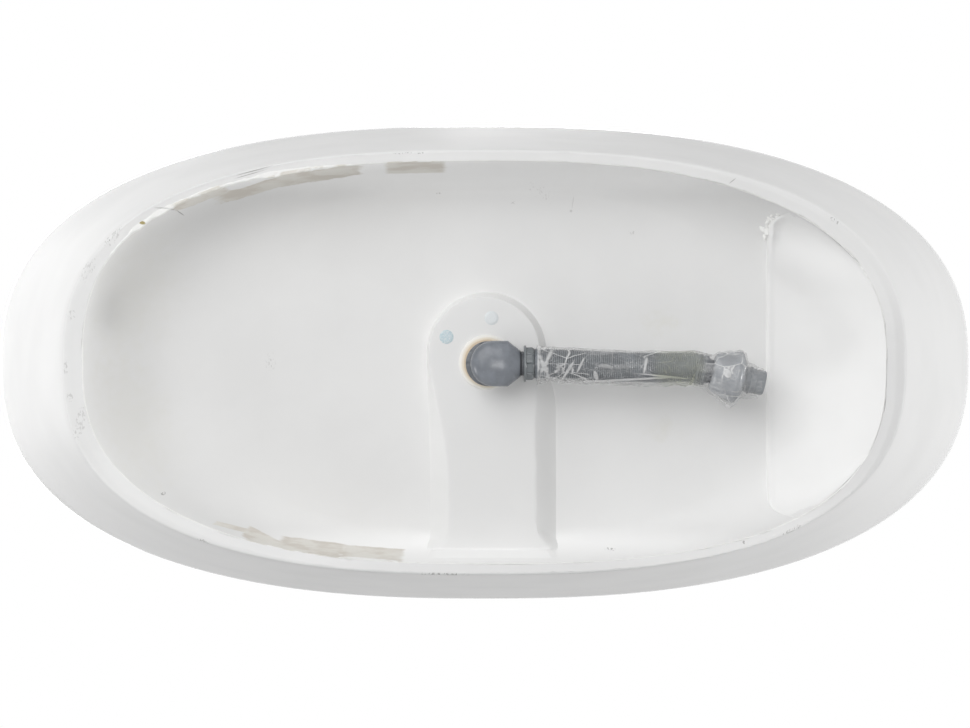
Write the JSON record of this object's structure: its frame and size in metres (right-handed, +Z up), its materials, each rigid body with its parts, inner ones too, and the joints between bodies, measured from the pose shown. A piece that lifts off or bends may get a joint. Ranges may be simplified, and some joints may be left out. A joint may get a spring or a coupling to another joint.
{
  "type": "freestanding bathtub",
  "caption": "Freestanding oval bathtub in cast stone, with a flared double-skin shell, built-in overflow, click plug and a swivelling waste elbow with a corrugated hose.",
  "frame": {"origin": "on the floor under the middle of the tub, which stands upright on its foot ring", "axes": "+Z up, +X along the tub towards the waste hose's free end, +Y to the side with the overflow"},
  "size_m": [1.7, 0.83, 0.56],
  "materials": {
    "cast_stone": "satin",
    "vent_plug": "satin",
    "chrome": "polished",
    "spring_steel": "satin",
    "tan_rubber": "matte",
    "dark_rubber": "matte",
    "grey_plastic": "satin",
    "soft_seal": "gloss",
    "film": "gloss"
  },
  "bodies": {
    "tub": {"basin_shell": "cast_stone", "skirt_shell": "cast_stone", "base_pan": "cast_stone", "overflow_duct": "cast_stone", "overflow_riser": "cast_stone", "vent_plugs": "vent_plug", "waste_body": "chrome", "flange_gasket": "dark_rubber", "lower_washer": "tan_rubber", "back_nut": "grey_plastic", "cartridge_body": "chrome", "cartridge_spring": "spring_steel"},
    "plug": {"plug_stem": "chrome", "plug_cap": "chrome", "plug_seal": "dark_rubber"},
    "elbow": {"elbow_body": "grey_plastic", "elbow_oring": "dark_rubber", "cone_washer": "dark_rubber", "hose_inlet_cuff": "grey_plastic", "waste_hose": "grey_plastic", "hose_end_cuff": "grey_plastic", "floor_seal": "soft_seal", "outlet_spigot": "grey_plastic", "film_wrap": "film"},
    "outlet_nut": {"outlet_nut": "grey_plastic"}
  },
  "joints": [
    {"name": "plug_lift", "type": "slide", "parent": "tub", "child": "plug", "axis": [0, 0, 1], "range_m": [0, 0.009], "deforming": ["cartridge_spring"]},
    {"name": "elbow_swivel", "type": "hinge", "parent": "tub", "child": "elbow", "pos_m": [0.006, 0.002, 0.038], "axis": [0, 0, 1], "range_deg": [-28, 24]},
    {"name": "outlet_nut_turn", "type": "hinge", "parent": "elbow", "child": "outlet_nut", "pos_m": [0.068, 0.002, 0.038], "axis": [1, 0, 0], "continuous": true}
  ]
}
